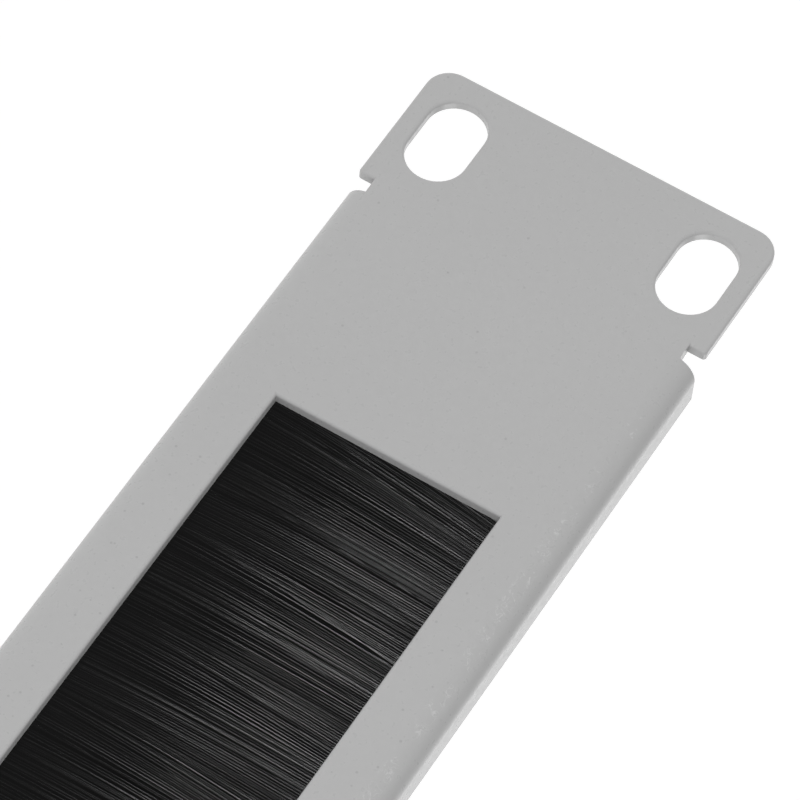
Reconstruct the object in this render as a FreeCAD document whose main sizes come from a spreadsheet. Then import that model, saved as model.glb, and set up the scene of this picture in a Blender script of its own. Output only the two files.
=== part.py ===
"""Brush strip panel for a 19-inch rack, one rack unit high.

Frame: X along the panel's length, +Y into the rack, +Z up, millimetres.
The origin is the centre of the four rack slots, on the plane where the
ears meet the rack's posts, so the panel's rear face is at Y = 0 and its
front face at Y = -sheet.
"""
import FreeCAD, Part
import math
import os

import Sketcher
from FreeCAD import Vector

doc = FreeCAD.newDocument("brush_strip_panel")
sheet = doc.addObject("Spreadsheet::Sheet", "Dims")

# --------------------------------------------------------------- dimensions
ROWS = [
    # folded front panel
    ("panel_width", 482.6, "overall length, as in the 19-inch standard"),
    ("ear_height", 43.7, "height over the ears, one rack unit less clearance"),
    ("ear_width", 17.5, "length of each flat ear, up to its bend relief"),
    ("ear_corner", 3.0, "radius of the ears' outer corners"),
    ("slot_pitch_x", 465.1, "rack hole spacing across"),
    ("slot_pitch_z", 31.75, "rack hole spacing up"),
    ("slot_length", 11.3, "slot end to end"),
    ("slot_width", 7.1, "slot width"),
    ("body_length", 443.7, "length of the flanged part"),
    ("body_height", 43.8, "height over the two flanges"),
    ("neck_height", 39.5, "height left between the bend reliefs"),
    ("plate", 1.3, "sheet thickness with its powder coat"),
    ("bend_outer", 3.0, "outside bend radius"),
    ("flange_depth", 6.3, "front face to the flange's free edge"),
    ("window_length", 387.8, "cable window"),
    ("window_height", 27.7, "cable window"),
    ("coat_round", 0.42, "rounding of the coated front edges"),
    ("ear_inner_round", 0.4, "rounding of the ears' corners beside the bend relief"),
    # strip brush
    ("brush_length", 396.0, "length of the strip brush"),
    ("channel_depth", 4.0, "channel, front to rear"),
    ("channel_height", 4.4, "channel, mouth to crown"),
    ("channel_wall", 0.6, "channel strip thickness"),
    ("channel_crown", 1.4, "outside radius at the crown"),
    ("crimp_height", 1.4, "length of the crimped mouth"),
    ("crimp_inset", 0.45, "how far each leg is pressed in at the mouth"),
    ("wire_diameter", 1.3, "core wire"),
    ("wire_drop", 1.85, "crown to wire centre"),
    ("field_length", 395.0, "length of the bristle field"),
    ("trim_length", 32.7, "mouth to bristle tips"),
    ("end_splay", 4.2, "how far the field's ends splay outward, at the tips"),
    ("flare_front_drop", 6.2, "mouth to where the front of the field stops flaring"),
    ("flare_front", 0.3, "field to the sheet's rear face, below the flare"),
    ("tip_front", 0.2, "field to the sheet's rear face, at the tips"),
    ("flare_rear_drop", 9.2, "mouth to the rear knee of the field"),
    ("flare_rear", 3.6, "rear of the field at the knee, from the sheet"),
    ("tip_rear", 3.9, "rear of the field at the tips, from the sheet"),
    # retainer rail
    ("rail_plate", 1.0, "rail sheet thickness"),
    ("rail_length", 399.0, "length of the C-section"),
    ("rail_bend", 1.3, "rail outside bend radius"),
    ("rail_lip_start", 1.9, "front edge of the upper lip, from the sheet"),
    ("rail_hook_start", 3.2, "front edge of the lower hook, from the sheet"),
    ("tab_start", 201.0, "where each end tab starts to joggle, from the middle"),
    ("tab_end", 217.5, "free end of each tab, from the middle"),
    ("tab_bottom", 9.0, "lower edge of the tabs"),
    ("tab_height", 9.4, "height of the tabs"),
    ("joggle_bend", 1.1, "joggle bend radius at mid thickness"),
    ("tab_corner", 1.8, "corner radius of the tabs"),
    ("stud_x", 211.8, "weld studs, from the middle"),
    ("stud_z", 13.7, "weld studs, above the middle"),
    ("tab_hole", 5.2, "tab hole, over the stud's weld flange"),
    # fasteners
    ("stud_diameter", 3.0, "weld stud thread"),
    ("stud_flange", 4.5, "weld flange diameter"),
    ("stud_flange_height", 0.8, "weld flange height"),
    ("stud_length", 4.8, "stud, from the sheet"),
    ("stud_chamfer", 0.3, "stud end chamfer"),
    ("washer_outer", 7.0, "washer outside diameter"),
    ("washer_inner", 3.2, "washer hole"),
    ("washer_height", 0.5, "washer thickness"),
    ("nut_flats", 5.5, "nut across flats"),
    ("nut_height", 2.4, "nut height"),
    ("nut_turn", 11.0, "how far the nuts are turned, degrees"),
]


class Size:
    """A length together with the spreadsheet formula that gives it."""

    def __init__(self, value, text=None):
        self.value = float(value)
        self.text = text if text is not None else repr(float(value))

    @staticmethod
    def of(other):
        return other if isinstance(other, Size) else Size(other)

    def __add__(self, other):
        o = Size.of(other)
        return Size(self.value + o.value, f"({self.text} + {o.text})")

    def __radd__(self, other):
        return Size.of(other) + self

    def __sub__(self, other):
        o = Size.of(other)
        return Size(self.value - o.value, f"({self.text} - {o.text})")

    def __rsub__(self, other):
        return Size.of(other) - self

    def __mul__(self, other):
        o = Size.of(other)
        return Size(self.value * o.value, f"({self.text} * {o.text})")

    def __rmul__(self, other):
        return Size.of(other) * self

    def __truediv__(self, other):
        o = Size.of(other)
        return Size(self.value / o.value, f"({self.text} / {o.text})")

    def __neg__(self):
        return Size(-self.value, f"(-1 * {self.text})")


def root(size):
    return Size(math.sqrt(size.value), f"sqrt({size.text})")


sheet.set("A1", "name")
sheet.set("B1", "value")
sheet.set("C1", "what it is")
D = {}
for n, (name, value, words) in enumerate(ROWS, start=2):
    sheet.set(f"A{n}", name)
    sheet.set(f"B{n}", str(value))
    sheet.set(f"C{n}", words)
    sheet.setAlias(f"B{n}", name)
    D[name] = Size(value, f"Dims.{name}")
doc.recompute()
ZERO = Size(0.0)


# ------------------------------------------------------------------ helpers
def new_body(label):
    body = doc.addObject("PartDesign::Body", label)
    body.Label = label
    return body


def plane(body, role):
    return next(f for f in body.Origin.OriginFeatures if f.Role == role)


def new_sketch(body, name, role, offset=(None, None, None)):
    """A sketch on one of the body's own origin planes, moved by the offsets given in the plane's own axes."""
    sk = body.newObject("Sketcher::SketchObject", name)
    sk.AttachmentSupport = [(plane(body, role), "")]
    sk.MapMode = "FlatFace"
    if any(o is not None for o in offset):
        sk.AttachmentOffset = FreeCAD.Placement(
            Vector(*[o.value if o is not None else 0.0 for o in offset]),
            FreeCAD.Rotation(),
        )
        for axis, o in zip("xyz", offset):
            if o is not None:
                sk.setExpression(f"AttachmentOffset.Base.{axis}", o.text)
    return sk


def bind(sk, constraint, size):
    i = sk.addConstraint(constraint)
    sk.setExpression(f"Constraints[{i}]", size.text)
    return i


def pin_point(sk, geo, pos, x, y):
    """Fixes a point of the sketch by its two distances from the sketch's origin."""
    bind(sk, Sketcher.Constraint("DistanceX", -1, 1, geo, pos, x.value), x)
    bind(sk, Sketcher.Constraint("DistanceY", -1, 1, geo, pos, y.value), y)


def loop(sk, corners):
    """A closed outline. Each corner is (x, y) when a straight edge leaves it, or (x, y, (cx, cy), turn) when an arc
    about (cx, cy) leaves it, turn being 1 for anticlockwise and -1 for clockwise."""
    geos, n = [], len(corners)
    for i, c in enumerate(corners):
        x0, y0 = c[0].value, c[1].value
        x1, y1 = corners[(i + 1) % n][0].value, corners[(i + 1) % n][1].value
        if len(c) == 2:
            g = sk.addGeometry(
                Part.LineSegment(Vector(x0, y0, 0), Vector(x1, y1, 0)), False
            )
            geos.append((g, 1, 2))
        else:
            cx, cy = c[2][0].value, c[2][1].value
            r = math.hypot(x0 - cx, y0 - cy)
            a0 = math.atan2(y0 - cy, x0 - cx)
            a1 = math.atan2(y1 - cy, x1 - cx)
            if c[3] < 0:
                a0, a1 = a1, a0
            g = sk.addGeometry(
                Part.ArcOfCircle(
                    Part.Circle(Vector(cx, cy, 0), Vector(0, 0, 1), r), a0, a1
                ),
                False,
            )
            geos.append((g, 1, 2) if c[3] > 0 else (g, 2, 1))
    for i, (g, first, last) in enumerate(geos):
        h, nxt, _ = geos[(i + 1) % n]
        sk.addConstraint(Sketcher.Constraint("Coincident", g, last, h, nxt))
    for (g, first, last), c in zip(geos, corners):
        pin_point(sk, g, first, c[0], c[1])
        if len(c) > 2:
            cx = c[2][0]
            bind(sk, Sketcher.Constraint("DistanceX", -1, 1, g, 3, cx.value), cx)
    return geos


def circle(sk, x, y, diameter):
    g = sk.addGeometry(
        Part.Circle(Vector(x.value, y.value, 0), Vector(0, 0, 1), diameter.value / 2),
        False,
    )
    pin_point(sk, g, 3, x, y)
    bind(sk, Sketcher.Constraint("Diameter", g, diameter.value), diameter)
    return g


def obround(sk, x, y, length, width):
    """A slot about (x, y), its straight sides along the sketch's x."""
    half, r = (length - width) / 2, width / 2
    left, right = x - half, x + half
    loop(
        sk,
        [
            (left, y - r),
            (right, y - r, (right, y), 1),
            (right, y + r),
            (left, y + r, (left, y), 1),
        ],
    )


def pad(body, sk, name, length, symmetric=False, reverse=False):
    p = body.newObject("PartDesign::Pad", name)
    p.Profile = (sk, [""])
    p.Length = length.value
    p.setExpression("Length", length.text)
    if symmetric:
        p.SideType = "Symmetric"
    p.Reversed = reverse
    sk.Visibility = False
    doc.recompute()
    return p


def pocket_through(body, sk, name):
    """A pocket right through, both ways from its sketch. It has to take material away."""
    before = body.Shape.Volume
    p = body.newObject("PartDesign::Pocket", name)
    p.Profile = (sk, [""])
    p.Type = "ThroughAll"
    p.SideType = "Symmetric"
    doc.recompute()
    if not body.Shape.Volume < before - 1e-3:
        raise RuntimeError(f"{name} cut nothing")
    return p


def revolve(body, sk, name, kind="PartDesign::Revolution"):
    before = body.Shape.Volume if kind == "PartDesign::Groove" else None
    r = body.newObject(kind, name)
    r.Profile = (sk, [""])
    r.ReferenceAxis = (sk, ["V_Axis"])
    r.Angle = 360.0
    doc.recompute()
    if before is not None and not body.Shape.Volume < before - 1e-6:
        raise RuntimeError(f"{name} cut nothing")
    return r


def mirror_all(body, name, originals):
    """The same features again on the other end of the panel."""
    m = body.newObject("PartDesign::Mirrored", name)
    m.Originals = originals
    m.MirrorPlane = (plane(body, "YZ_Plane"), [""])
    body.Tip = m
    doc.recompute()
    return m


def loft_between(body, first, last, name):
    before = body.Shape.Volume
    f = body.newObject("PartDesign::AdditiveLoft", name)
    f.Profile = (first, [""])
    f.Sections = [(last, [""])]
    f.Ruled = True
    first.Visibility = last.Visibility = False
    doc.recompute()
    if not body.Shape.Volume > before + 1e-6:
        raise RuntimeError(f"{name} added nothing")
    return f


def fillet(body, name, edges, radius):
    f = body.newObject("PartDesign::Fillet", name)
    f.Base = (body.Tip, edges) if body.Tip is not f else (f.BaseFeature, edges)
    f.Radius = radius.value
    f.setExpression("Radius", radius.text)
    doc.recompute()
    return f


def edges_where(shape, test):
    return [f"Edge{i}" for i, e in enumerate(shape.Edges, start=1) if test(e)]


# -------------------------------------------------------------- front_panel
# One folded sheet: a flat face with a long window, a flange bent back along
# each long edge, and a flat slotted ear at each end beyond a bend relief.
t = D["plate"]
H = D["body_height"] / 2
R = D["bend_outer"]
deep = D["flange_depth"] - t
front = -t
bend_y = R - t
bend_z = H - R

front_panel = new_body("front_panel")
sk = new_sketch(front_panel, "PanelSection", "YZ_Plane")
loop(
    sk,
    [
        (deep, H),
        (bend_y, H, (bend_y, bend_z), 1),
        (front, bend_z),
        (front, -bend_z, (bend_y, -bend_z), 1),
        (bend_y, -H),
        (deep, -H),
        (deep, -H + t),
        (bend_y, -H + t, (bend_y, -bend_z), -1),
        (ZERO, -bend_z),
        (ZERO, bend_z, (bend_y, bend_z), -1),
        (bend_y, H - t),
        (deep, H - t),
    ],
)
pad(front_panel, sk, "PanelBody", D["body_length"], symmetric=True)

B = D["body_length"] / 2
P = D["panel_width"] / 2
E = P - D["ear_width"]
neck = D["neck_height"] / 2
He = D["ear_height"] / 2
rc = D["ear_corner"]
ri = D["ear_inner_round"]
sk = new_sketch(front_panel, "EarOutlines", "XZ_Plane")
for s in (1, -1):
    loop(
        sk,
        [
            (s * B, -bend_z),
            (s * E, -bend_z),
            (s * E, -He + ri, (s * (E + ri), -He + ri), s),
            (s * (E + ri), -He),
            (s * (P - rc), -He, (s * (P - rc), -He + rc), s),
            (s * P, -He + rc),
            (s * P, He - rc, (s * (P - rc), He - rc), s),
            (s * (P - rc), He),
            (s * (E + ri), He, (s * (E + ri), He - ri), s),
            (s * E, He - ri),
            (s * E, bend_z),
            (s * B, bend_z),
        ],
    )
pad(front_panel, sk, "Ears", t)

# Between the bend reliefs the sheet runs a little past the line where the
# bend starts: a narrow band along each side of the neck, which follows the
# bend where it leaves the body and is flat where it meets the ear.
past = neck - bend_z
y_out = bend_y - root(R * R - past * past)
y_in = bend_y - root((R - t) * (R - t) - past * past)
for s, side in ((1, "Right"), (-1, "Left")):
    for up, level in ((1, "Upper"), (-1, "Lower")):
        at_body = new_sketch(front_panel, f"NeckBend{side}{level}", "YZ_Plane", (None, None, s * B))
        loop(
            at_body,
            [
                (front, up * bend_z, (bend_y, up * bend_z), -up),
                (y_out, up * neck),
                (y_in, up * neck, (bend_y, up * bend_z), up),
                (ZERO, up * bend_z),
            ],
        )
        at_ear = new_sketch(front_panel, f"NeckFlat{side}{level}", "YZ_Plane", (None, None, s * E))
        loop(
            at_ear,
            [
                (front, up * bend_z),
                (front, up * neck),
                (ZERO, up * neck),
                (ZERO, up * bend_z),
            ],
        )
        loft_between(front_panel, at_body, at_ear, f"NeckBand{side}{level}")

wx, wz = D["window_length"] / 2, D["window_height"] / 2
sk = new_sketch(front_panel, "WindowOutline", "XZ_Plane")
loop(sk, [(-wx, -wz), (wx, -wz), (wx, wz), (-wx, wz)])
pocket_through(front_panel, sk, "CableWindow")

sk = new_sketch(front_panel, "SlotOutlines", "XZ_Plane")
for side in (1, -1):
    for up in (1, -1):
        obround(
            sk,
            D["slot_pitch_x"] / 2 * side,
            D["slot_pitch_z"] / 2 * up,
            D["slot_length"],
            D["slot_width"],
        )
pocket_through(front_panel, sk, "RackSlots")

# the powder coat rounds the front edges of the window, the slots and the ears
front_y = front.value


def is_coated_front_edge(e):
    box = e.BoundBox
    if abs(box.YMin - front_y) > 1e-4 or abs(box.YMax - front_y) > 1e-4:
        return False
    x = max(abs(box.XMin), abs(box.XMax))
    lowest_x = min(abs(box.XMin), abs(box.XMax))
    z = max(abs(box.ZMin), abs(box.ZMax))
    lowest_z = 0.0 if box.ZMin * box.ZMax < 0 else min(abs(box.ZMin), abs(box.ZMax))
    in_window = x < wx.value + 0.01 and z < wz.value + 0.01
    across_neck = box.XMax - box.XMin < 1e-4 and lowest_z < neck.value - 0.01
    on_ear = lowest_x > E.value - 0.01 and not (
        across_neck and abs(lowest_x - E.value) < 0.01
    )
    return in_window or on_ear


coated = edges_where(front_panel.Shape, is_coated_front_edge)
fillet(front_panel, "CoatRounding", coated, D["coat_round"])

# ------------------------------------------------------------ brush_channel
# The strip brush's metal channel: a U formed over the wire and the folded
# bristles, its legs crimped in at the mouth. It lies on the sheet's rear.
cd = D["channel_depth"]
w = D["channel_wall"]
cr = D["channel_crown"]
ins = D["crimp_inset"]
crown = H - t - D["rail_plate"]
mouth = crown - D["channel_height"]
knee = mouth + D["crimp_height"]
brush_channel = new_body("brush_channel")
sk = new_sketch(brush_channel, "ChannelSection", "YZ_Plane")
ri = cr - w
loop(
    sk,
    [
        (ins, mouth),
        (ins + w, mouth),
        (w, knee),
        (w, crown - cr, (cr, crown - cr), -1),
        (cr, crown - w),
        (cd - cr, crown - w, (cd - cr, crown - cr), -1),
        (cd - w, crown - cr),
        (cd - w, knee),
        (cd - ins - w, mouth),
        (cd - ins, mouth),
        (cd, knee),
        (cd, crown - cr, (cd - cr, crown - cr), 1),
        (cd - cr, crown),
        (cr, crown, (cr, crown - cr), 1),
        (ZERO, crown - cr),
        (ZERO, knee),
    ],
)
pad(brush_channel, sk, "Channel", D["brush_length"], symmetric=True)

# ---------------------------------------------------------------- core_wire
wire_y, wire_z = cd / 2, crown - D["wire_drop"]
core_wire = new_body("core_wire")
sk = new_sketch(core_wire, "WireSection", "YZ_Plane")
circle(sk, wire_y, wire_z, D["wire_diameter"])
pad(core_wire, sk, "Wire", D["brush_length"], symmetric=True)

# ----------------------------------------------------------------- bristles
# The bristle field as one plain closed solid: folded over the wire inside
# the channel, leaving at the mouth and flaring down behind the window.
bristles = new_body("bristles")
sk = new_sketch(bristles, "FieldSection", "YZ_Plane")
tips = mouth - D["trim_length"]
loop(
    sk,
    [
        (ins + w, mouth),
        (D["flare_front"], mouth - D["flare_front_drop"]),
        (D["tip_front"], tips),
        (D["tip_rear"], tips),
        (D["flare_rear"], mouth - D["flare_rear_drop"]),
        (cd - ins - w, mouth),
        (cd - w, knee),
        (cd - w, crown - cr, (cd - cr, crown - cr), 1),
        (cd - cr, crown - w),
        (cr, crown - w, (cr, crown - cr), 1),
        (w, crown - cr),
        (w, knee),
    ],
)
circle(sk, wire_y, wire_z, D["wire_diameter"])
half_field = D["field_length"] / 2
splayed = half_field + D["end_splay"]
pad(bristles, sk, "Field", D["field_length"] + D["end_splay"] * 2, symmetric=True)
sk = new_sketch(bristles, "FieldEnds", "XZ_Plane")
for s in (1, -1):
    loop(
        sk,
        [
            (s * half_field, crown + 1),
            (s * half_field, mouth),
            (s * splayed, tips),
            (s * (splayed + 1), tips),
            (s * (splayed + 1), crown + 1),
        ],
    )
pocket_through(bristles, sk, "EndSplay")

# ------------------------------------------------------------ retainer_rail
# A C-section of bare sheet behind the window's upper edge. Its upper lip and
# lower hook hold the channel, and its joggled end tabs go over the studs.
rp = D["rail_plate"]
rear = cd + rp
ro = D["rail_bend"]
ri = ro - rp
top, bottom = crown + rp, mouth - rp
retainer_rail = new_body("retainer_rail")
sk = new_sketch(retainer_rail, "RailSection", "YZ_Plane")
loop(
    sk,
    [
        (D["rail_lip_start"], top),
        (D["rail_lip_start"], top - rp),
        (cd - ri, top - rp, (cd - ri, top - rp - ri), -1),
        (cd, top - rp - ri),
        (cd, bottom + rp + ri, (cd - ri, bottom + rp + ri), -1),
        (cd - ri, bottom + rp),
        (D["rail_hook_start"], bottom + rp),
        (D["rail_hook_start"], bottom),
        (rear - ro, bottom, (rear - ro, bottom + ro), 1),
        (rear, bottom + ro),
        (rear, top - ro, (rear - ro, top - ro), 1),
        (rear - ro, top),
    ],
)
pad(retainer_rail, sk, "RailBody", D["rail_length"], symmetric=True)

# the joggle: two 45 degree bends about mid-thickness radius joggle_bend
j = D["joggle_bend"]
ji, jo = j - rp / 2, j + rp / 2
c45 = math.cos(math.radians(45))
rise = cd  # from the web's plane down to the sheet's
run_flat = rise - 2 * (j * (1 - c45))
u0 = D["tab_start"]
# centres of the two bends
c1x, c1y = u0, cd + rp / 2 - j
c2x = u0 + 2 * j * c45 + run_flat
c2y = rp / 2 + j
u1 = D["tab_end"]
x_in = D["rail_length"] / 2
sk = new_sketch(
    retainer_rail, "TabPath", "XY_Plane", (None, None, D["tab_bottom"])
)
for s in (1, -1):
    corners = [
        (s * x_in, rear),
        (s * x_in, cd),
        (s * u0, cd, (s * c1x, c1y), -s),
        (s * (c1x + ji * c45), c1y + ji * c45),
        (s * (c2x - jo * c45), c2y - jo * c45, (s * c2x, c2y), s),
        (s * c2x, ZERO),
        (s * u1, ZERO),
        (s * u1, rp),
        (s * c2x, rp, (s * c2x, c2y), -s),
        (s * (c2x - ji * c45), c2y - ji * c45),
        (s * (c1x + jo * c45), c1y + jo * c45, (s * c1x, c1y), s),
        (s * u0, rear),
    ]
    loop(sk, corners)
pad(retainer_rail, sk, "EndTabs", D["tab_height"])

sk = new_sketch(retainer_rail, "TabHoles", "XZ_Plane")
for s in (1, -1):
    circle(sk, s * D["stud_x"], D["stud_z"], D["tab_hole"])
pocket_through(retainer_rail, sk, "StudHoles")

end_x = u1.value


def is_tab_corner(e):
    box = e.BoundBox
    return (
        abs(max(abs(box.XMin), abs(box.XMax)) - end_x) < 1e-4
        and abs(box.XMax - box.XMin) < 1e-4
        and abs(box.ZMax - box.ZMin) < 1e-4
        and abs(box.YMax - box.YMin - rp.value) < 1e-4
    )


fillet(
    retainer_rail,
    "TabCorners",
    edges_where(retainer_rail.Shape, is_tab_corner),
    D["tab_corner"],
)

# --------------------------------------------------------------- weld_studs
# Two threaded studs welded to the sheet's rear, one beyond each end of the
# strip brush. Profile in a plane through the stud's axis: x is the radius.
sd, sf, fh, sl, sc = (
    D["stud_diameter"] / 2,
    D["stud_flange"] / 2,
    D["stud_flange_height"],
    D["stud_length"],
    D["stud_chamfer"],
)
at_stud = (D["stud_x"], None, D["stud_z"])
weld_studs = new_body("weld_studs")
sk = new_sketch(weld_studs, "StudProfile", "XY_Plane", at_stud)
loop(
    sk,
    [
        (ZERO, ZERO),
        (sf, ZERO),
        (sf, fh),
        (sd, fh),
        (sd, sl - sc),
        (sd - sc, sl),
        (ZERO, sl),
    ],
)
stud = revolve(weld_studs, sk, "Stud")
mirror_all(weld_studs, "OtherStud", [stud])

# ------------------------------------------------------------------ washers
washers = new_body("washers")
sk = new_sketch(washers, "WasherProfile", "XY_Plane", at_stud)
wi, wo = D["washer_inner"] / 2, D["washer_outer"] / 2
w0, w1 = rp, rp + D["washer_height"]
loop(sk, [(wi, w0), (wo, w0), (wo, w1), (wi, w1)])
washer = revolve(washers, sk, "Washer")
mirror_all(washers, "OtherWasher", [washer])

# --------------------------------------------------------------------- nuts
# Hexagon nuts, their corners chamfered on both faces.
nuts = new_body("nuts")
n0 = w1
n1 = n0 + D["nut_height"]
sk = new_sketch(nuts, "NutOutline", "XZ_Plane", (D["stud_x"], D["stud_z"], -n1))
across = D["nut_flats"] / 2 / math.cos(math.radians(30))
turn = D["nut_turn"].value
loop(
    sk,
    [
        (
            across * math.cos(math.radians(turn + 60 * k)),
            across * math.sin(math.radians(turn + 60 * k)),
        )
        for k in range(6)
    ],
)
circle(sk, ZERO, ZERO, D["stud_diameter"])
nut = pad(nuts, sk, "Nut", D["nut_height"])
sk = new_sketch(nuts, "NutChamfers", "XY_Plane", at_stud)
touch = D["nut_flats"] / 2 * 0.97
out = across * 1.1
fall = (out - touch) * math.tan(math.radians(30))
loop(sk, [(touch, n1), (out, n1 - fall), (out, n1)])
loop(sk, [(touch, n0), (out, n0), (out, n0 + fall)])
chamfers = revolve(nuts, sk, "NutEdges", "PartDesign::Groove")
mirror_all(nuts, "OtherNut", [nut, chamfers])

# ------------------------------------------------------------ check, export
PARTS = [
    front_panel,
    retainer_rail,
    brush_channel,
    core_wire,
    bristles,
    weld_studs,
    washers,
    nuts,
]
SOLIDS = {"weld_studs": 2, "washers": 2, "nuts": 2}
doc.recompute()
for obj in doc.Objects:
    if "Invalid" in obj.State or "Error" in obj.State:
        raise RuntimeError(f"{obj.Label} failed: {obj.State}")
for body in PARTS:
    shape = body.Shape
    if shape.isNull() or not shape.isValid():
        raise RuntimeError(f"{body.Label} has no valid shape")
    if len(shape.Solids) != SOLIDS.get(body.Label, 1):
        raise RuntimeError(f"{body.Label} has {len(shape.Solids)} solids")
os.makedirs("parts", exist_ok=True)
for body in PARTS:
    body.Shape.exportStep(os.path.join("parts", body.Label + ".step"))
    box = body.Shape.BoundBox
    print(
        f"{body.Label}: {len(body.Shape.Solids)} solid(s), {body.Shape.Volume:.1f} mm3, "
        f"X {box.XMin:.2f}..{box.XMax:.2f} Y {box.YMin:.2f}..{box.YMax:.2f} Z {box.ZMin:.2f}..{box.ZMax:.2f}"
    )
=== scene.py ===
import math

import bpy
import numpy as np
from mathutils import Matrix, Quaternion, Vector


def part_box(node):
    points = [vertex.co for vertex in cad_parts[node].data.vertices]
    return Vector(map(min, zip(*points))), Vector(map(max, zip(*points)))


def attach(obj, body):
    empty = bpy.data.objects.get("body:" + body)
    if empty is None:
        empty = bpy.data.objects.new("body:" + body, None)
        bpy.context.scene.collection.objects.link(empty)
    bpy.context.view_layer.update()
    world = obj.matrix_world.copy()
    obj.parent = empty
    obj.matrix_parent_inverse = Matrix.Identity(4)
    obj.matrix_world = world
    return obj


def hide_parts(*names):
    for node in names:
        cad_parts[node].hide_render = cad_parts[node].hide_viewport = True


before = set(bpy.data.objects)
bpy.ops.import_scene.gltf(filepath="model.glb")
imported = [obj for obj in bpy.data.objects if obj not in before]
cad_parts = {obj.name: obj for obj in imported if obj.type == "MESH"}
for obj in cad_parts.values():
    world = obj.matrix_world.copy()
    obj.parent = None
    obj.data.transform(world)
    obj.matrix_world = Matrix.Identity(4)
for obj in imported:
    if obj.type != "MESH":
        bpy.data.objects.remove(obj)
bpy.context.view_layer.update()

MM = 0.001
scene = bpy.context.scene
rng = np.random.default_rng(20611)


# ------------------------------------------------------------------ materials
class Nodes:
    """A material and short ways to add nodes to it."""

    def __init__(self, name):
        self.material = bpy.data.materials.new(name)
        self.material.use_nodes = True
        self.tree = self.material.node_tree
        self.tree.nodes.clear()
        self.out = self.tree.nodes.new("ShaderNodeOutputMaterial")
        self.bsdf = self.tree.nodes.new("ShaderNodeBsdfPrincipled")
        self.link(self.bsdf.outputs[0], self.out.inputs["Surface"])
        self._object = None

    def link(self, a, b):
        self.tree.links.new(a, b)

    def put(self, socket, value):
        if isinstance(value, bpy.types.NodeSocket):
            self.link(value, socket)
        else:
            socket.default_value = value

    def shader(self, **values):
        for name, value in values.items():
            self.put(self.bsdf.inputs[name.replace("_", " ")], value)

    def place(self, scale=(1, 1, 1), offset=(0, 0, 0)):
        """Object coordinates, in metres, stretched."""
        if self._object is None:
            self._object = self.tree.nodes.new("ShaderNodeTexCoord").outputs["Object"]
        m = self.tree.nodes.new("ShaderNodeMapping")
        self.link(self._object, m.inputs["Vector"])
        m.inputs["Scale"].default_value = scale
        m.inputs["Location"].default_value = offset
        return m.outputs[0]

    def noise(self, vector, scale=1.0, detail=2.0, rough=0.5, distort=0.0):
        n = self.tree.nodes.new("ShaderNodeTexNoise")
        self.link(vector, n.inputs["Vector"])
        n.inputs["Scale"].default_value = scale
        n.inputs["Detail"].default_value = detail
        n.inputs["Roughness"].default_value = rough
        n.inputs["Distortion"].default_value = distort
        return n.outputs[0]

    def cells(self, vector, scale=1.0, randomness=1.0, feature="F1", out="Distance"):
        n = self.tree.nodes.new("ShaderNodeTexVoronoi")
        n.feature = feature
        self.link(vector, n.inputs["Vector"])
        n.inputs["Scale"].default_value = scale
        n.inputs["Randomness"].default_value = randomness
        return n.outputs[out]

    def spread(self, value, low, high, to_low=0.0, to_high=1.0, smooth=True):
        n = self.tree.nodes.new("ShaderNodeMapRange")
        n.interpolation_type = "SMOOTHSTEP" if smooth else "LINEAR"
        self.link(value, n.inputs["Value"])
        for key, v in (("From Min", low), ("From Max", high), ("To Min", to_low), ("To Max", to_high)):
            n.inputs[key].default_value = v
        return n.outputs[0]

    def sums(self, op, a, b):
        n = self.tree.nodes.new("ShaderNodeMath")
        n.operation = op
        self.put(n.inputs[0], a)
        self.put(n.inputs[1], b)
        return n.outputs[0]

    def blend(self, factor, a, b, kind="MIX"):
        n = self.tree.nodes.new("ShaderNodeMix")
        n.data_type = "RGBA"
        n.blend_type = kind
        self.put(n.inputs[0], factor)
        self.put(n.inputs[6], a)
        self.put(n.inputs[7], b)
        return n.outputs[2]

    def bump(self, height, distance, under=None, strength=1.0):
        n = self.tree.nodes.new("ShaderNodeBump")
        n.inputs["Strength"].default_value = strength
        n.inputs["Distance"].default_value = distance
        self.link(height, n.inputs["Height"])
        if under is not None:
            self.link(under, n.inputs["Normal"])
        return n.outputs[0]


def grey(v, tint=(1, 1, 1)):
    return (v * tint[0], v * tint[1], v * tint[2], 1.0)


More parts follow.
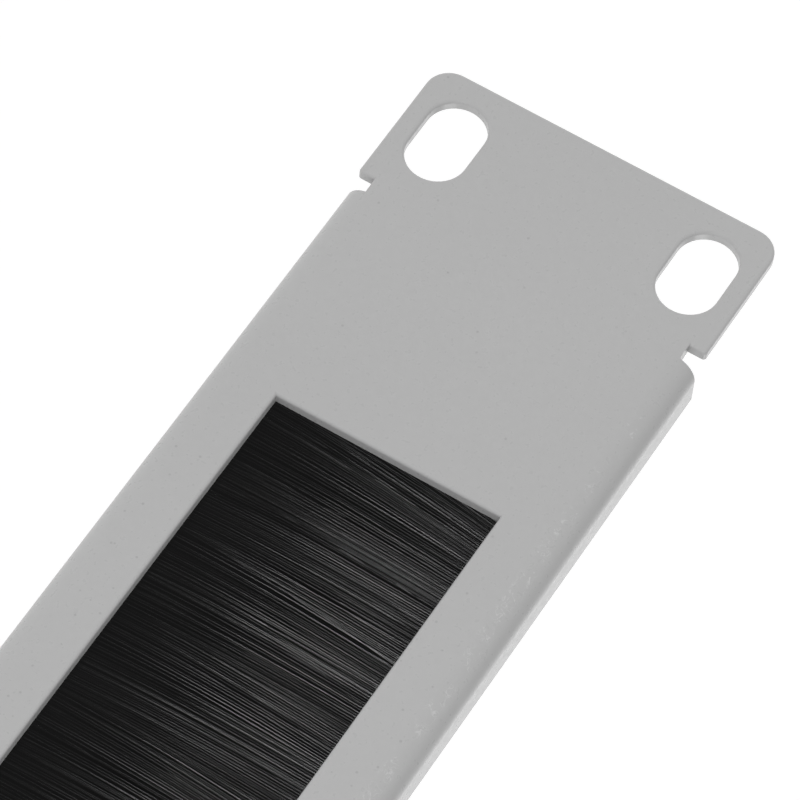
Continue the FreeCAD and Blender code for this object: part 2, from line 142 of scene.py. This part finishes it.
def powder_coat():
    m = Nodes("powder_coat_light_grey")
    here = m.place()
    # slow unevenness of the film and faint mottle
    slow = m.spread(m.noise(here, 22.0, 2.0), 0.3, 0.7)
    mottle = m.spread(m.noise(here, 900.0, 3.0, 0.6), 0.3, 0.7)
    base = m.blend(slow, grey(0.398), grey(0.406))
    base = m.blend(m.sums("MULTIPLY", mottle, 0.35), base, grey(0.386))
    split = m.tree.nodes.new("ShaderNodeSeparateXYZ")
    m.link(here, split.inputs[0])
    along = m.sums("ABSOLUTE", split.outputs["X"], 0.0)
    # dark specks in the powder, more of them away from the ears
    speck = m.spread(m.cells(here, 800.0), 0.09, 0.15, 1.0, 0.0)
    dark = m.sums("ADD", m.cells(here, 800.0, out="Color"), m.spread(along, 0.155, 0.190, 0.4, 0.0))
    speck = m.sums("MULTIPLY", speck, m.spread(dark, 0.84, 0.96))
    base = m.blend(m.sums("MULTIPLY", speck, 0.36), base, grey(0.20))
    # painted highlight: thin light curls of glint, painted into the base colour where the orange peel catches light at
    # the start of the upper long bend
    height = split.outputs["Z"]
    glint_band = m.sums("MULTIPLY", m.spread(height, 0.0189, 0.0195), m.spread(height, 0.0203, 0.0210, 1.0, 0.0))
    painted_glint_curls = m.spread(m.sums("ABSOLUTE", m.sums("SUBTRACT", m.noise(here, 1150.0, 1.0, 0.5, 1.2), 0.5), 0.0), 0.010, 0.035, 1.0, 0.0)
    glint_spots = m.spread(m.sums("ADD", m.noise(m.place((1, 1, 1), (0.7, 0.2, 0.6)), 520.0, 1.0), m.spread(along, 0.170, 0.212, 0.1, 0.0)), 0.55, 0.62)
    glint_spots = m.sums("MULTIPLY", glint_spots, m.spread(along, 0.214, 0.220, 1.0, 0.0))
    # painted highlight: a lighter grey (0.56) blended into the base colour where the glints fall
    base = m.blend(m.sums("MULTIPLY", m.sums("MULTIPLY", glint_band, painted_glint_curls), m.sums("MULTIPLY", glint_spots, 0.5)), base, grey(0.56))
    peel = m.noise(m.place((1, 1, 1)), 820.0, 2.0, 0.45)
    fine = m.noise(m.place((1, 1, 1), (0.3, 0.1, 0.7)), 2600.0, 2.0, 0.5)
    normal = m.bump(fine, 0.0000045, m.bump(peel, 0.000020))
    m.shader(
        Base_Color=base,
        Metallic=0.0,
        Roughness=m.spread(m.noise(here, 1500.0, 2.0), 0.3, 0.7, 0.27, 0.34),
        Specular_IOR_Level=0.5,
        Normal=normal,
    )
    return m.material


def galvanised(name, value=0.50, along=False):
    """Hot-dip galvanised sheet: faint crystal facets under a dull zinc skin."""
    m = Nodes(name)
    here = m.place()
    warp = m.place((1, 1, 1), (0.2, 0.4, 0.1))
    facet = m.cells(here, 190.0, out="Color")
    facet = m.sums("MULTIPLY", facet, 1.0)
    fine = m.noise(warp, 700.0, 3.0, 0.6)
    streak = m.noise(m.place((30, 1400, 1400)), 1.0, 2.0)
    tone = m.blend(m.spread(facet, 0.2, 0.8), grey(value * 0.86, (0.985, 1.0, 1.015)), grey(value * 1.1, (0.99, 1.0, 1.01)))
    tone = m.blend(m.spread(fine, 0.35, 0.7, 0.0, 0.35), tone, grey(value * 0.7))
    rough = m.sums("ADD", m.spread(facet, 0.1, 0.9, 0.34, 0.50), m.spread(fine, 0.3, 0.7, -0.03, 0.06))
    normal = m.bump(streak if along else fine, 0.000012)
    m.shader(Base_Color=tone, Metallic=1.0, Roughness=rough, Normal=normal)
    return m.material


def zinc_plate():
    m = Nodes("bright_zinc_plate")
    here = m.place()
    cloud = m.noise(here, 900.0, 3.0, 0.55)
    lay = m.noise(m.place((400, 5200, 400)), 1.0, 2.0)
    tone = m.blend(m.spread(cloud, 0.35, 0.7), grey(0.66, (0.98, 1.0, 1.03)), grey(0.52, (1.03, 1.0, 0.94)))
    m.shader(
        Base_Color=tone,
        Metallic=1.0,
        Roughness=m.spread(lay, 0.25, 0.75, 0.20, 0.38),
        Normal=m.bump(lay, 0.000008),
    )
    return m.material


def copper_flash():
    m = Nodes("copper_flashed_steel")
    here = m.place()
    cloud = m.noise(here, 1100.0, 3.0, 0.6)
    tone = m.blend(m.spread(cloud, 0.4, 0.68), (0.60, 0.33, 0.21, 1), (0.40, 0.26, 0.19, 1))
    scorch = m.spread(m.noise(m.place((700, 300, 700)), 1.0, 2.0), 0.35, 0.75, 0.24, 0.48)
    m.shader(Base_Color=tone, Metallic=1.0, Roughness=scorch, Normal=m.bump(cloud, 0.000006))
    return m.material


def drawn_wire():
    m = Nodes("drawn_steel_wire")
    lines = m.noise(m.place((40, 9000, 9000)), 1.0, 2.0)
    tone = m.blend(m.spread(lines, 0.35, 0.7), grey(0.5), grey(0.34, (1.02, 1.0, 0.97)))
    m.shader(Base_Color=tone, Metallic=1.0, Roughness=m.spread(lines, 0.2, 0.8, 0.26, 0.42), Normal=m.bump(lines, 0.000004))
    return m.material


def nylon():
    """Black nylon filament: gloss differs from one filament to the next, and the tips are matt. A faint painted glow
    over every filament, stronger at the tips, lifts its blacks.
    """
    m = Nodes("black_nylon_filament")
    each = m.tree.nodes.new("ShaderNodeNewGeometry").outputs["Random Per Island"]
    slow = m.noise(m.place((260, 260, 90)), 1.0, 2.0)
    tone = m.blend(each, grey(0.00010), grey(0.00028))
    gloss = m.sums("POWER", m.sums("FRACT", m.sums("MULTIPLY", each, 17.0), 0.0), 2.0)
    rough = m.sums("ADD", m.spread(each, 0.0, 1.0, 0.13, 0.22, smooth=False), m.spread(slow, 0.3, 0.7, -0.02, 0.03))
    split = m.tree.nodes.new("ShaderNodeSeparateXYZ")
    m.link(m.place(), split.inputs[0])
    height = split.outputs["Z"]
    shine = m.sums("MULTIPLY", m.spread(gloss, 0.0, 1.0, 0.12, 1.0, smooth=False), m.spread(height, -0.0125, -0.003, 0.33, 1.0))
    m.shader(
        Base_Color=tone,
        Roughness=rough,
        Specular_IOR_Level=0.03,
        Specular_Tint=m.blend(shine, grey(0.0), grey(1.0)),
        # painted light: the emission is a faint glow on every filament, stronger towards the tips, standing in for haze
        # that lifts the blacks
        Emission_Color=grey(1.0),
        Emission_Strength=m.spread(height, -0.012, 0.0, 0.0072, 0.0050),
    )
    return m.material


COAT = powder_coat()
RAIL = galvanised("galvanised_sheet", 0.50)
STRIP = galvanised("galvanised_strip", 0.44, along=True)
ZINC = zinc_plate()
COPPER = copper_flash()
WIRE = drawn_wire()
NYLON = nylon()

for node, material in {
    "front_panel": COAT,
    "retainer_rail": RAIL,
    "brush_channel": STRIP,
    "core_wire": WIRE,
    "washers": ZINC,
    "nuts": ZINC,
}.items():
    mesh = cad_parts[node].data
    mesh.materials.clear()
    mesh.materials.append(material)


def new_object(name, vertices, faces, material, smooth=True):
    mesh = bpy.data.meshes.new(name)
    mesh.from_pydata(vertices, [], faces)
    mesh.polygons.foreach_set("use_smooth", [smooth] * len(mesh.polygons))
    mesh.materials.append(material)
    mesh.update()
    o = bpy.data.objects.new(name, mesh)
    scene.collection.objects.link(o)
    return o


# ------------------------------------------------------------------- bristles
def tubes(name, paths, radii, material, sides=3):
    """One mesh of closed round filaments. paths is (count, rings, 3) in metres, radii is (count, rings)."""
    count, rings, _ = paths.shape
    tangent = np.empty_like(paths)
    tangent[:, 1:-1] = paths[:, 2:] - paths[:, :-2]
    tangent[:, 0] = paths[:, 1] - paths[:, 0]
    tangent[:, -1] = paths[:, -1] - paths[:, -2]
    tangent /= np.linalg.norm(tangent, axis=2, keepdims=True)
    across = np.cross(tangent, np.array([0.0, 1.0, 0.0]))
    across /= np.linalg.norm(across, axis=2, keepdims=True)
    other = np.cross(tangent, across)
    phase = rng.uniform(0, 2 * math.pi, (count, 1, 1))
    k = np.arange(sides) * 2 * math.pi / sides
    c = np.cos(phase + k)[..., None]
    s = np.sin(phase + k)[..., None]
    ring = across[:, :, None, :] * c + other[:, :, None, :] * s
    points = paths[:, :, None, :] + ring * radii[:, :, None, None]
    vertices = points.reshape(-1, 3)
    base = (np.arange(count) * rings * sides)[:, None, None, None]
    r = (np.arange(rings - 1) * sides)[None, :, None, None]
    j = np.arange(sides)[None, None, :, None]
    jn = (np.arange(sides) + 1) % sides
    jn = jn[None, None, :, None]
    quads = np.concatenate([base + r + j, base + r + jn, base + r + sides + jn, base + r + sides + j], axis=3).reshape(-1, 4)
    last = (np.arange(count) * rings * sides)[:, None] + np.arange(sides)[None, :]
    first = last[:, ::-1]
    last = last + (rings - 1) * sides
    mesh = bpy.data.meshes.new(name)
    loops = np.concatenate([quads.ravel(), first.ravel(), last.ravel()]).astype(np.int32)
    sizes = np.concatenate([np.full(len(quads), 4), np.full(2 * count, sides)]).astype(np.int32)
    starts = np.concatenate([[0], np.cumsum(sizes)[:-1]]).astype(np.int32)
    mesh.vertices.add(len(vertices))
    mesh.vertices.foreach_set("co", vertices.astype(np.float32).ravel())
    mesh.loops.add(len(loops))
    mesh.loops.foreach_set("vertex_index", loops)
    mesh.polygons.add(len(sizes))
    mesh.polygons.foreach_set("loop_start", starts)
    mesh.polygons.foreach_set("use_smooth", np.concatenate([np.ones(len(quads), bool), np.zeros(2 * count, bool)]))
    mesh.update(calc_edges=True)
    mesh.validate()
    mesh.materials.append(material)
    o = bpy.data.objects.new(name, mesh)
    scene.collection.objects.link(o)
    return o


def smooth_noise(x, step, amplitude, seed):
    """A smooth random line over x with features of about this step."""
    g = np.random.default_rng(seed)
    lo, hi = x.min() - 2 * step, x.max() + 2 * step
    n = int((hi - lo) / step) + 4
    knots = g.normal(0, 1, n)
    at = (x - lo) / step
    i = np.clip(at.astype(int), 0, n - 2)
    f = at - i
    f = f * f * (3 - 2 * f)
    return amplitude * (knots[i] * (1 - f) + knots[i + 1] * f)


FIELD_LOW, FIELD_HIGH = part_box("bristles")
CHANNEL_LOW, CHANNEL_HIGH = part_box("brush_channel")
HALF = FIELD_HIGH.x / MM  # at the tips, where the ends splay furthest
ENDS = HALF - 4.2  # at the mouth
MOUTH = CHANNEL_LOW.z / MM
TIPS = FIELD_LOW.z / MM

# Filaments stand side by side in layers from the front of the field to its rear, as the channel's crimp leaves them.
# Each layer is a fan of nearly straight filaments: they come out of the mouth leaning forward, are upright below the
# field's middle and lean back at the tips.
LAYERS, PITCH = 11, 0.322
top_z = MOUTH + 1.6


DEPTHS = (0.0, 0.20, 0.41, 0.63, 1.15, 1.48, 1.81, 2.13, 2.45, 2.79, 3.12)  # crowded at the front and at the rear


def layer(index, rings, splits):
    """One layer of the field, cut along its length into a few meshes."""
    u = DEPTHS[index] / DEPTHS[-1]
    count = int((2 * ENDS - 0.5) / PITCH)
    x0 = (np.arange(count) - (count - 1) / 2) * PITCH + rng.normal(0, 0.026, count) + PITCH * 0.5 * (index % 2 - 0.5)
    x0 = np.clip(x0, -ENDS + 0.15, ENDS - 0.15)
    end = ENDS - np.abs(x0)
    # sideways lean in degrees: the ends splay outward, neighbours lean together, and each filament adds its own
    lean = np.sign(x0) * -6.3 / (1 + np.exp((end - 9.0) / 2.6))
    lean += (smooth_noise(x0, 6.0, 1.1, 11) + smooth_noise(x0, 3.2, 0.4, 12 + index // 3)) * np.clip(end / 5.0, 0, 1)
    lean += rng.normal(0, 0.17, count)
    stray = rng.uniform(0, 1, count) < 0.035
    lean += np.where(stray, rng.normal(0, 2.0, count), 0)
    lean = np.clip(lean, -7.2, 7.2)
    tip_z = TIPS + 0.25 + np.abs(rng.normal(0, 0.16, count))
    s = np.linspace(0, 1, rings)[None, :]
    z = top_z + (tip_z[:, None] - top_z) * s
    fall = np.clip(MOUTH - z, 0, None)
    inside = np.clip((z - MOUTH) / 1.6, 0, 1)
    near = 0.34 + 3.12 * u
    flare = 0.055 - 0.097 * u

    def out(z):
        return near + flare * (np.sqrt((z + 7.0) ** 2 + 14.0) - 3.74)

    y = out(z)
    # a slow wave of its own in each filament, none at the mouth
    free = np.clip(fall / 8.0, 0, 1)
    wave = rng.normal(0, 0.03, count)[:, None]
    turn = rng.uniform(0, 2 * math.pi, count)[:, None]
    step = rng.uniform(17, 38, count)[:, None]
    y += free * (wave * np.sin(2 * math.pi * z / step + turn) + 0.5 * np.abs(wave))
    y += np.tan(np.radians(rng.normal(0, 0.26, count)))[:, None] * np.clip(fall - 4.0, 0, None)
    y += (smooth_noise(x0, 2.4, 0.03, 31 + index) + smooth_noise(x0, 7.0, 0.02, 32))[:, None] * free
    # neighbours hold each filament, so none tips far out of its layer
    own = y - out(z)
    tipped = np.clip(np.diff(own, axis=1) / np.diff(z, axis=1), -0.013, 0.013) * np.diff(z, axis=1)
    y = out(z) + own[:, :1] + np.concatenate([np.zeros((count, 1)), np.cumsum(tipped, axis=1)], axis=1)
    mouth_y = out(MOUTH)
    y = np.where(z > MOUTH, mouth_y + (mouth_y - 2.0) * 0.18 * inside, y)
    y = np.clip(y, 0.31, 3.78)
    bowed = np.minimum(fall, 17.0)
    x = x0[:, None] - np.tan(np.radians(lean + 1.3))[:, None] * fall + 0.0026 * bowed * (fall - 0.5 * bowed)
    sway = rng.normal(0, 0.03, count)[:, None]
    x += free * sway * np.sin(2 * math.pi * z / step + 2.0 * turn)
    limit = ENDS - 0.12 + (HALF - ENDS) * np.clip(fall / (MOUTH - TIPS), 0, 1)
    x = np.clip(x, -limit, limit)
    paths = np.stack([x, y, z], axis=2) * MM
    radius = rng.normal(0.128, 0.006, count).clip(0.11, 0.14) * MM
    radii = np.repeat(radius[:, None], rings, axis=1)
    order = np.argsort(x0)
    return [(paths[part], radii[part]) for part in np.array_split(order, splits)]


front = [layer(i, 10, 2) for i in range(2)]
middle = [layer(i, 8, 2) for i in range(2, 4)]
back = [layer(i, 7, 3) for i in range(4, LAYERS)]
groups = {}
for word, k, layers, sides in (("front", 2, front, 6), ("middle", 2, middle, 6), ("back", 3, back, 3)):
    for n in range(k):
        groups[f"bristle_{word}_{n + 1}"] = (
            np.concatenate([one[n][0] for one in layers]),
            np.concatenate([one[n][1] for one in layers]),
            sides,
        )
BRISTLES = bpy.data.collections.new("bristles_only")
COATED = bpy.data.collections.new("coated_only")
COATED.objects.link(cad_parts["front_panel"])
for name, (paths, radii, sides) in groups.items():
    piece = tubes(name, paths, radii, NYLON, sides)
    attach(piece, "root")
    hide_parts("bristles")
    BRISTLES.objects.link(piece)


# ---------------------------------------------------------------- weld studs
STUD_LOW, STUD_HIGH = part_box("weld_studs")


def stud_mesh(cx, cz):
    """A weld flange and a rolled M3 thread along +Y, about (cx, cz), in millimetres."""
    major, minor, pitch = 1.5, 1.23, 0.5
    steps, y_start, y_end = 24, 0.8, STUD_HIGH.y / MM
    verts, faces = [], []

    def ring(yy, rr):
        first = len(verts)
        for k in range(steps):
            a = 2 * math.pi * k / steps
            verts.append(((cx + rr * math.cos(a)) * MM, yy * MM, (cz + rr * math.sin(a)) * MM))
        return first

    def join(a, b):
        for k in range(steps):
            kn = (k + 1) % steps
            faces.append((a + k, a + kn, b + kn, b + k))

    loops = [ring(0.0, 2.25), ring(0.62, 2.25), ring(0.76, 2.14), ring(0.80, 1.96), ring(0.80, 1.48)]
    rows = int((y_end - 0.3 - y_start) / (pitch / 6))
    for i in range(1, rows + 1):
        first = len(verts)
        yy = y_start + i * pitch / 6
        for k in range(steps):
            a = 2 * math.pi * k / steps
            phase = ((yy / pitch) - k / steps) % 1.0
            tri = abs(phase - 0.5) * 2
            rr = minor + (major - minor) * min(1.0, max(0.0, (tri - 0.15) / 0.7))
            fade = min(1.0, i / 4)
            rr = major - (major - rr) * fade
            verts.append(((cx + rr * math.cos(a)) * MM, yy * MM, (cz + rr * math.sin(a)) * MM))
        loops.append(first)
    loops.append(ring(y_end - 0.12, 1.26))
    loops.append(ring(y_end, 1.12))
    for a, b in zip(loops, loops[1:]):
        join(b, a)
    faces.append(tuple(range(loops[0], loops[0] + steps)))
    faces.append(tuple(reversed(range(loops[-1], loops[-1] + steps))))
    return verts, faces


stud_x = (STUD_HIGH.x / MM) - 2.25
stud_z = (STUD_HIGH.z + STUD_LOW.z) / 2 / MM
for side, word in ((1, "right"), (-1, "left")):
    verts, faces = stud_mesh(side * stud_x, stud_z)
    piece = new_object(f"threaded_stud_{word}", verts, faces, COPPER)
    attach(piece, "root")
    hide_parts("weld_studs")

# --------------------------------------------------------------------- stage
floor_z = -0.14
side = 3.0
floor = new_object(
    "floor",
    [(-side, -side, floor_z), (side, -side, floor_z), (side, side, floor_z), (-side, side, floor_z)],
    [(0, 1, 2, 3)],
    None or bpy.data.materials.new("pale_floor"),
    smooth=False,
)
pale = floor.data.materials[0]
pale.use_nodes = True
pb = pale.node_tree.nodes["Principled BSDF"]
pb.inputs["Base Color"].default_value = (0.88, 0.88, 0.88, 1)
pb.inputs["Roughness"].default_value = 0.9
pb.inputs["Specular IOR Level"].default_value = 0.1
pb.inputs["Emission Color"].default_value = (1, 1, 1, 1)
pb.inputs["Emission Strength"].default_value = 0.32

# a white tent: even all round, brighter low behind the left end, dimmer high behind
world = bpy.data.worlds.new("studio")
scene.world = world
world.use_nodes = True
wt = world.node_tree
wt.nodes.clear()
wo = wt.nodes.new("ShaderNodeOutputWorld")
sky = wt.nodes.new("ShaderNodeBackground")
look = wt.nodes.new("ShaderNodeTexCoord")


def toward(azimuth, elevation):
    """A direction. Azimuth 0 is in front of the panel and 90 is off its right end."""
    a, e = math.radians(azimuth), math.radians(elevation)
    return (math.sin(a) * math.cos(e), -math.cos(a) * math.cos(e), math.sin(e))


def lobe(azimuth, elevation, full, none, amount):
    """A soft round patch of the sky: this amount within the first angle, nothing past the second."""
    dot = wt.nodes.new("ShaderNodeVectorMath")
    dot.operation = "DOT_PRODUCT"
    wt.links.new(look.outputs["Generated"], dot.inputs[0])
    dot.inputs[1].default_value = toward(azimuth, elevation)
    angle = wt.nodes.new("ShaderNodeMath")
    angle.operation = "ARCCOSINE"
    wt.links.new(dot.outputs["Value"], angle.inputs[0])
    fade = wt.nodes.new("ShaderNodeMapRange")
    fade.interpolation_type = "SMOOTHSTEP"
    wt.links.new(angle.outputs[0], fade.inputs["Value"])
    for key, v in (("From Min", math.radians(full)), ("From Max", math.radians(none)), ("To Min", amount), ("To Max", 0.0)):
        fade.inputs[key].default_value = v
    return fade.outputs[0]


total = None
for patch in (lobe(-149, 20, 10, 35, 0.65), lobe(180, 62, 25, 60, -0.60)):
    add = wt.nodes.new("ShaderNodeMath")
    add.operation = "ADD"
    wt.links.new(patch, add.inputs[0])
    if total is None:
        add.inputs[1].default_value = 0.998
    else:
        wt.links.new(total, add.inputs[1])
    total = add.outputs[0]
sky.inputs["Color"].default_value = (1, 1, 1, 1)
wt.links.new(total, sky.inputs["Strength"])
wt.links.new(sky.outputs[0], wo.inputs["Surface"])


def softbox(name, direction, distance, width, height, radiance, target=(-0.19, 0, 0), up=(0, 0, 1), only=None, lone=False):
    """A rectangular light of this radiance, seen from the target in this direction. It can light one collection only,
    and be shaded by that one only."""
    d = Vector(direction).normalized()
    light = bpy.data.lights.new(name, "AREA")
    light.shape = "RECTANGLE"
    light.size, light.size_y = width, height
    light.energy = radiance * math.pi * width * height
    o = bpy.data.objects.new(name, light)
    scene.collection.objects.link(o)
    o.location = Vector(target) + d * distance
    zaxis = d
    xaxis = Vector(up).cross(zaxis).normalized()
    yaxis = zaxis.cross(xaxis)
    o.matrix_world = Matrix.Translation(o.location) @ Matrix((xaxis, yaxis, zaxis)).transposed().to_4x4()
    o.visible_camera = False
    if only is not None:
        o.light_linking.receiver_collection = only
    if lone:
        o.light_linking.blocker_collection = only
    return o


softbox("brush_sheen", toward(-24, -6.2), 0.8, 0.20, 0.236, 432.0, only=BRISTLES, lone=True)
softbox("fill", toward(50, 8), 0.30, 0.12, 0.10, 2.0, target=(-0.17, 0, 0), only=COATED)
softbox("backdrop", toward(172, 31), 1.0, 0.6, 0.4, 2.4, target=(0, 0, 0), only=COATED)
softbox("rear_sheen", toward(180, -24), 0.9, 0.9, 0.40, 420.0, target=(0, 0, 0), only=BRISTLES, lone=True)

# -------------------------------------------------------------------- camera
camera_data = bpy.data.cameras.new("camera")
camera = bpy.data.objects.new("camera", camera_data)
scene.collection.objects.link(camera)
camera_data.sensor_width = 36.0
camera_data.lens = 267.43
camera_data.clip_start = 0.01
camera_data.clip_end = 50
camera.rotation_mode = "QUATERNION"
camera.location = (0.11503946, -0.52648131, 0.14976365)
camera.rotation_quaternion = Quaternion((0.20815484, 0.44550508, -0.42536426, 0.75977762))
scene.camera = camera
scene.view_settings.view_transform = "Standard"
scene.view_settings.look = "None"
scene.view_settings.exposure = 0.0
scene.view_settings.gamma = 1.0
